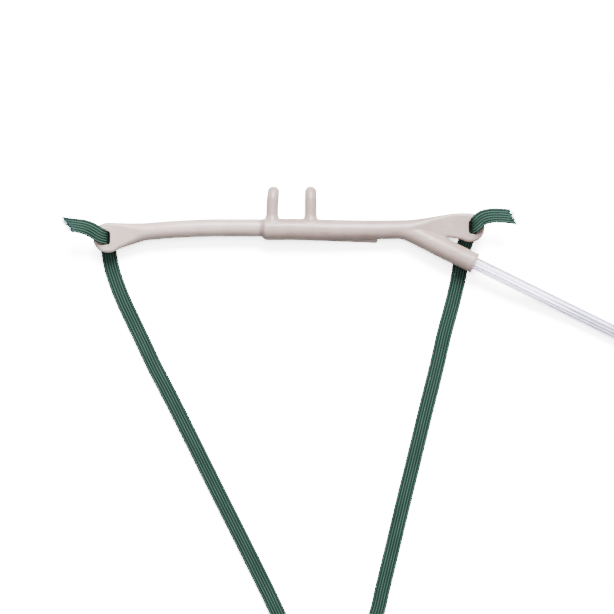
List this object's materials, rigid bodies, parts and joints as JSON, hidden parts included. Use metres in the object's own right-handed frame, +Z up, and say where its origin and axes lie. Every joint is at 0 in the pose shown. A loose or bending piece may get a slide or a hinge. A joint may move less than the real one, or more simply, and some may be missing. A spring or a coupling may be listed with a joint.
{
  "type": "nasal oxygen cannula",
  "caption": "Soft vinyl nasal cannula: curved prongs on a lip tube, an eyelet tab at each end for a flat elastic head strap, and clear supply tubing coiled beside it, ending in a funnel.",
  "frame": {"origin": "on the flat underside of the lip pad, midway between the two prongs", "axes": "+X along the facepiece towards the branch that takes the supply tubing, +Y the way the prongs point, +Z up from the surface that the cannula lies on"},
  "size_m": [0.2946, 0.2346, 0.0228],
  "materials": {
    "vinyl": "satin soft vinyl, milky pinkish grey",
    "clear_vinyl": "clear flexible tubing, glossy, with lengthwise ridges",
    "elastic": "flat woven elastic, green with paler lengthwise ribs",
    "band": "matt white vinyl band"
  },
  "bodies": {
    "root": {"facepiece": "vinyl", "head_strap": "elastic", "supply_tubing": "clear_vinyl", "tubing_coil": "clear_vinyl", "tubing_tail": "clear_vinyl", "tubing_connector": "clear_vinyl", "coil_tie_back": "band", "coil_tie_front": "band"}
  },
  "joints": []
}
